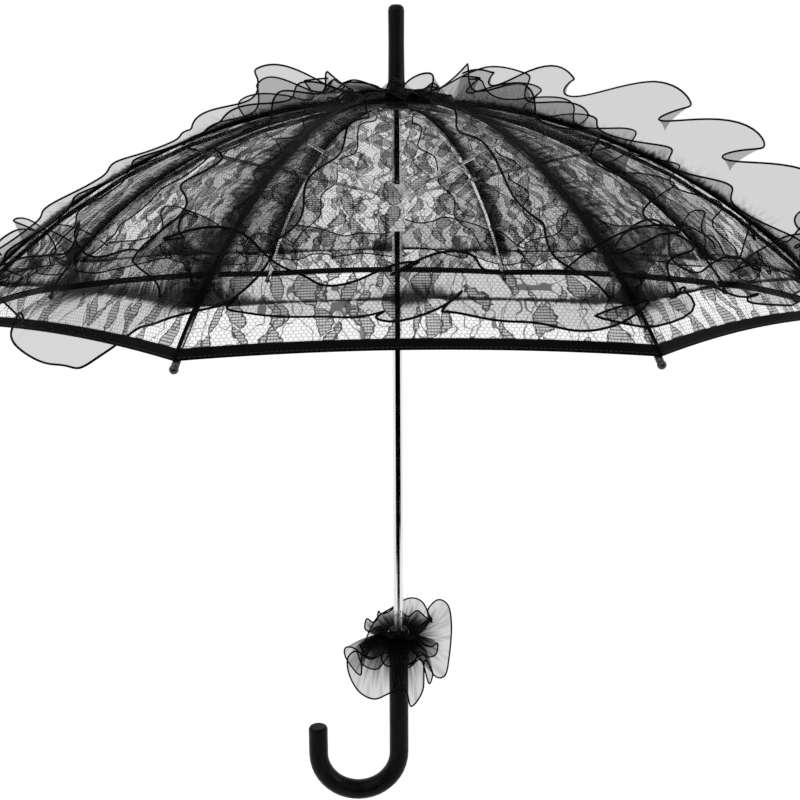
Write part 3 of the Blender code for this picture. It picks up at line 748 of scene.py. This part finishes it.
def add_seam_frill(k, look, cord_look):
    """The two flounces gathered along rib k's seam, one to each side."""
    ends = (SEAM_START / CANOPY_ARC, TIP_ANGLE - SEAM_END / CANOPY_ARC)
    base, along, flat, up = rib_line(k, *ends, SEAM_COLUMNS, GATHER_LIFT)
    run = run_along(base)
    share = run / run[-1]
    taper = np.interp(share, (0, 0.06, 0.28, 0.42, 0.90, 1), (0.50, 0.64, 0.78, 1, 1, 0.55))
    made = []
    for number, side in enumerate((-1, 1)):
        seed = 40 * k + 7 * number
        start, end = SEAM_OPENING[k][number]
        opening = np.radians(np.interp(share, (0.0, 0.20, 0.34, 1.0), (start, start, end, end)))
        raised = np.sin(opening)
        waves = run / SEAM_PITCH + wandering(run, 0.09, seed, -0.22, 0.22)
        phase = 2 * math.pi * waves + 2.1 * k + 1.7 * number
        width = SEAM_WIDTH * taper * wandering(run, SEAM_PITCH, seed + 1, 0.88, 1.08)
        sway = 0.024 * taper * (0.10 + 0.90 * raised) * wandering(run, SEAM_PITCH, seed + 2, 0.7, 1.1)
        push = 0.029 * taper * (0.22 + 0.78 * raised) * wandering(run, SEAM_PITCH, seed + 3, 0.8, 1.15)
        grid = flounce_rows((base, along, flat * side, up), width, opening, phase, sway, push)
        gather_and_shade = np.interp(np.degrees(opening), (5, 40, 80), (1.55, 1.1, 0.5))
        made.append(add_flounce(f"seam_frill_{k}_{'ab'[number]}", grid, run, gather_and_shade))
    for cloth, cord in made:
        cloth.data.materials.append(look)
        cord.data.materials.append(cord_look)
    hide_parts(f"seam_ruffle_{k}")
    return made


HEM_GATHER = 0.930  # the gather line's place, as a share of the tips' radius
HEM_COLUMNS = 150
# Where things are round the hem, in radians from rib 1
HANGING_LOBE = 5.17
SHADED_CORNER = 5.20
SECOND_LOBE = 5.37
FRONT_PANEL = 5.89
# The hem's two flounces: name, way up (1) or down (-1), width, opening in degrees, lead of its folds
HEM_FLOUNCES = (("upper", 1, 0.034, 18, 0.0), ("lower", -1, 0.024, 12, 2.4))


def bump(x, centre, width):
    return np.exp(-(((x - centre) / width) ** 2))


def hem_line(k, count, lift):
    """Points along one sector's gather line, with directions along it, up the canopy and out of it."""
    angle = math.asin(HEM_GATHER * TIP_RADIUS / CANOPY_ARC)
    base, above, higher = [], [], []
    for w in np.linspace(-1, 1, count):
        side = 1 if w > 0 else -1
        base.append(on_canopy(k, angle, side, abs(w), lift))
        above.append(on_canopy(k, angle - 0.02, side, abs(w), lift))
        higher.append(on_canopy(k, angle, side, abs(w), lift + 0.01))
    base, above, higher = (np.array(p, float) for p in (base, above, higher))
    along = np.gradient(base, axis=0)
    along /= np.linalg.norm(along, axis=1)[:, None]
    climb = above - base
    climb -= along * (climb * along).sum(1)[:, None]
    climb /= np.linalg.norm(climb, axis=1)[:, None]
    up = np.cross(along, climb)
    up *= np.sign((up * (higher - base)).sum(1))[:, None]
    return base, along, climb, up


def add_hem_frill(k, look, cord_look):
    """The hem's strip, bunched over each rib and half way between, and lying in long swags elsewhere."""
    base, along, climb, up = hem_line(k, HEM_COLUMNS, GATHER_LIFT)
    run = run_along(base)
    w = np.linspace(-1, 1, HEM_COLUMNS)
    turn = 2 * math.pi * (k - 1 + w / 2) / 8
    bunch = bump(w, 0, 0.20) + bump(np.abs(w), 1, 0.14)
    hanging = bump(turn, HANGING_LOBE, 0.16) + 0.62 * bump(turn, SECOND_LOBE, 0.10)
    facing = np.exp((np.cos(turn - FRONT_PANEL) - 1) / 0.025)
    near_shaded_corner = bump(turn, SHADED_CORNER, 0.30)
    to_edge = np.linspace(0, 1, FRILL_ROWS)[:, None] ** 2
    swag = w + 0.36 * np.sin(2 * math.pi * w) + 0.30 * np.sin(5 * turn + 1.0) + 0.24 * np.sin(3 * turn + 0.4)
    made = []
    for name, way, width, opening, lead in HEM_FLOUNCES:
        phase = 2 * math.pi * swag + lead
        uneven = 0.82 + 0.32 * np.cos(7 * turn + lead) + 0.26 * np.sin(13 * turn + lead)
        size = width * (uneven + 0.26 * bunch) * (1 - 0.22 * facing)
        size = size + (0.014 * near_shaded_corner if way > 0 else 0.044 * hanging)
        sway = 0.007 + 0.003 * np.sin(5 * turn + lead) + 0.004 * bunch
        push = 0.011 + 0.004 * np.cos(6 * turn) + 0.012 * bunch
        slope = np.radians(opening + 26 * bunch)
        grid = flounce_rows((base, along, climb * way, up), size, slope, phase, sway, push)
        if way < 0:
            grid[:, :, 2] -= 0.008 * hanging * to_edge
            grid[:, :, :2] *= 1 - 0.035 * hanging[:, None] * to_edge[:, :, None]
        # The dense gathers reach further where the strip bunches over the ribs and half way between; near the
        # shaded corner the upper flounces' darkened band is widened too, as painted shade
        gather_and_shade = 0.3 + 1.9 * bunch + 1.1 * near_shaded_corner * (way > 0)
        made.append(add_flounce(f"hem_frill_{k}_{name}", grid, run, gather_and_shade))
    for cloth, cord in made:
        cloth.data.materials.append(look)
        cord.data.materials.append(cord_look)
    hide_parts(f"hem_ruffle_{k}")
    return made


def smooth_loop(knots, count):
    """A closed smooth curve through the knots."""
    knots = np.asarray(knots, float)
    at = np.arange(count) * len(knots) / count
    first = np.floor(at).astype(int)
    f = (at - first)[:, None]
    before, start, end, after = (knots[(first + step) % len(knots)] for step in (-1, 0, 1, 2))
    bend = (2 * before - 5 * start + 4 * end - after) * f**2 + (3 * start - before - 3 * end + after) * f**3
    return 0.5 * (2 * start + (end - before) * f + bend)


def lobed_frill(name, radius, centre_z, knots, gather_and_shade, look, cord_look, count=260):
    """A flounce gathered round the shaft whose free edge runs through the knots, given in millimetres from
    the gathers' centre."""
    edge = smooth_loop(knots, count) / 1000 + (0, 0, centre_z)
    facing = np.unwrap(np.arctan2(edge[:, 1], edge[:, 0]))
    round_once = math.copysign(2 * math.pi, facing[-1] - facing[0])
    steady = np.linspace(facing[0], facing[0] + round_once, count, endpoint=False)
    foot = np.stack([radius * np.cos(steady), radius * np.sin(steady), np.full(count, centre_z)], 1)
    outwards = foot * (1, 1, 0) / radius
    bend = foot + outwards * 0.016 + (edge - foot) * 0.30
    rows = [(1 - v) ** 2 * foot + 2 * v * (1 - v) * bend + v**2 * edge for v in np.linspace(0, 1, FRILL_ROWS)]
    cloth, cord = add_flounce(name, np.array(rows), run_along(edge), gather_and_shade, closed=True, fullness=1.0)
    cloth.data.materials.append(look)
    cord.data.materials.append(cord_look)
    return cloth, cord


# The free edges of the open frills round the shaft, in millimetres from where they are gathered
CROWN_LOW = (
    (50, -6, -5), (36, -22, -2), (38, -30, 5), (16, -38, -5), (2, -50, -6), (-16, -40, 3), (-34, -52, -11),
    (-54, -34, -9), (-46, -20, 3), (-66, -8, -7), (-60, 14, -3), (-44, 20, 9), (-48, 38, -8), (-20, 50, -7),
    (-12, 38, 6), (8, 52, -7), (30, 42, -8), (28, 26, 5), (50, 22, -7), (44, 8, 3),
)
CROWN_HIGH = (
    (34, -4, 9), (26, -14, 3), (16, -30, 0), (4, -40, -6), (-12, -32, -1), (-24, -38, 4), (-40, -32, 9),
    (-52, -22, 7), (-60, -12, 11), (-70, -2, 0), (-58, 8, 4), (-48, 14, 11), (-34, 22, 12), (-18, 26, 9),
    (-6, 30, 1), (8, 26, 7), (20, 24, 1), (30, 14, 7), (40, 6, 6),
)
HANDLE_LOW = (
    (-8, -16, -56), (-26, -20, -61), (-42, -16, -54), (-52, -8, -38), (-53, 0, -24), (-44, 4, -19),
    (-38, 10, -36), (-22, 20, -46), (-6, 30, -34), (10, 26, -48), (24, 18, -36), (32, 8, -58),
    (35, -4, -40), (26, -12, -24), (24, -20, -52), (12, -20, -70), (6, -26, -50),
)
HANDLE_HIGH = (
    (-30, -16, -22), (-47, -10, -12), (-56, -2, -16), (-54, 6, -32), (-40, 8, -50), (-38, 14, -26),
    (-24, 24, 4), (-6, 28, 16), (12, 24, 28), (26, 16, 26), (35, 6, 8), (30, -2, 24), (40, -6, 37),
    (51, -4, 30), (55, 0, 6), (53, 0, -26), (48, -6, -46), (36, -14, -42), (24, -26, -14), (8, -30, -22),
    (-12, -28, -10),
)


def puff(radius, height, lumps, turn):
    """Knots for a small, closely gathered flounce round the shaft, in millimetres."""
    knots = []
    for a in np.linspace(0, 2 * math.pi, 6 * lumps, endpoint=False):
        reach = radius * (1 + 0.17 * math.sin(lumps * a + turn))
        z = height + 0.14 * radius * math.cos(2 * lumps * a)
        knots.append((reach * math.cos(a), reach * math.sin(a), z))
    return knots


# Each frill round the shaft: how far its gathers are above the ferrule's foot or the grip's top, the knots of
# its free edge, and how far its dense gathers reach, their darker colour being painted shade
CROWN_FRILLS = (
    (0.003, CROWN_LOW, 4.6),
    (0.006, CROWN_HIGH, 4.0),
    (0.009, puff(47, -11, 5, 0.6), 7.0),
)
HANDLE_FRILLS = (
    (-0.008, HANDLE_LOW, 3.2),
    (-0.005, HANDLE_HIGH, 3.0),
    (-0.005, puff(31, 11, 4, 0.4), 4.0),
    (-0.008, puff(35, -15, 4, 1.9), 3.2),
)


def add_crown_frills(look, cord_look):
    made = []
    for number, (height, knots, gather_and_shade) in enumerate(CROWN_FRILLS, 1):
        place = (FERRULE_RADIUS + 0.0010, FERRULE_FOOT + height)
        made.append(lobed_frill(f"crown_frill_{number}", *place, knots, gather_and_shade, look, cord_look))
    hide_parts("crown_ruffle")
    return made


def add_handle_frills(look, cord_look):
    made = []
    for number, (height, knots, gather_and_shade) in enumerate(HANDLE_FRILLS, 1):
        place = (HANDLE_RADIUS + 0.0012, GRIP_TOP + height)
        made.append(lobed_frill(f"handle_frill_{number}", *place, knots, gather_and_shade, look, cord_look))
    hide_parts("handle_ruffle")
    return made


# ---------------------------------------------------------------- putting it together


def fold_with_rib(piece, k):
    """The piece moves with rib k, with a mesh of its own."""
    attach(piece, f"rib_{k}")
    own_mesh(piece)


def dress_sector(k, looks):
    """Everything of cloth that belongs to rib k."""
    organza, cord_look = looks["organza"], looks["cord"]
    pieces = [
        add_lace(k, looks["lace"]),
        add_seam(k, cord_look),
        add_binding(k, looks["binding"]),
        add_tip_sleeve(k, looks["black_plastic"]),
    ]
    frills = [*add_seam_frill(k, organza, cord_look), *add_hem_frill(k, organza, cord_look)]
    for cloth, cord in frills:
        pieces += [cloth, cord]
    for piece in pieces:
        fold_with_rib(piece, k)


HARDWARE_LOOKS = {
    "shaft": "chrome",
    "rib": "rib",
    "stretcher": "rib",
    "runner": "white_plastic",
    "top_notch": "black_plastic",
    "rib_tip": "black_plastic",
    "handle": "satin",
    "ferrule": "satin",
    "crown_cap": "satin",
}
ROUND_KINDS = ("handle", "ferrule", "shaft", "rib_tip", "runner", "notch_wire")
CRISP_ABOVE = math.radians(40)


def finish_hardware(looks):
    """Materials for the CAD nodes that stay as they are. What isn't listed is of bare steel."""
    for name, obj in frame["nodes"].items():
        kind = name.rsplit("_", 1)[0] if name[-1].isdigit() else name
        obj.data.materials.clear()
        obj.data.materials.append(looks[HARDWARE_LOOKS.get(kind, "steel")])
        if kind in ROUND_KINDS:
            obj.data.shade_smooth()
            obj.data.set_sharp_from_angle(angle=CRISP_ABOVE)


# Base colours: the usual one, and the one that drawing marks or clouding add
CHROME = ((0.86, 0.87, 0.88, 1), (0.74, 0.75, 0.77, 1))
RIB_PLATE = ((0.92, 0.92, 0.93, 1), (0.78, 0.79, 0.80, 1))
BARE_STEEL = ((0.62, 0.63, 0.65, 1), (0.45, 0.46, 0.48, 1))
WHITE = ((0.96, 0.96, 0.95, 1), (0.92, 0.92, 0.91, 1))
BLACK = ((0.006, 0.006, 0.006, 1), (0.012, 0.012, 0.012, 1))


def make_looks():
    return {
        "lace": lace_material(),
        "organza": organza_material(),
        "cord": cord_material(),
        "binding": binding_material(),
        "satin": satin_material(),
        "chrome": metal_material("chrome_plate", *CHROME, 0.10, (900, 900, 12)),
        "rib": metal_material("plated_rib", *RIB_PLATE, 0.16, (300, 300, 60)),
        "steel": metal_material("spring_steel", *BARE_STEEL, 0.30, (500, 500, 40)),
        "white_plastic": plastic_material("white_plastic", *WHITE, 0.30),
        "black_plastic": plastic_material("black_plastic", *BLACK, 0.30),
    }


def main():
    add_camera()
    add_studio()
    looks = make_looks()
    finish_hardware(looks)
    for k in RIBS:
        dress_sector(k, looks)
    for maker, rest in ((add_crown_frills, "ferrule"), (add_handle_frills, "handle")):
        for cloth, cord in maker(looks["organza"], looks["cord"]):
            for piece in (cloth, cord):
                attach(piece, "frame")


main()
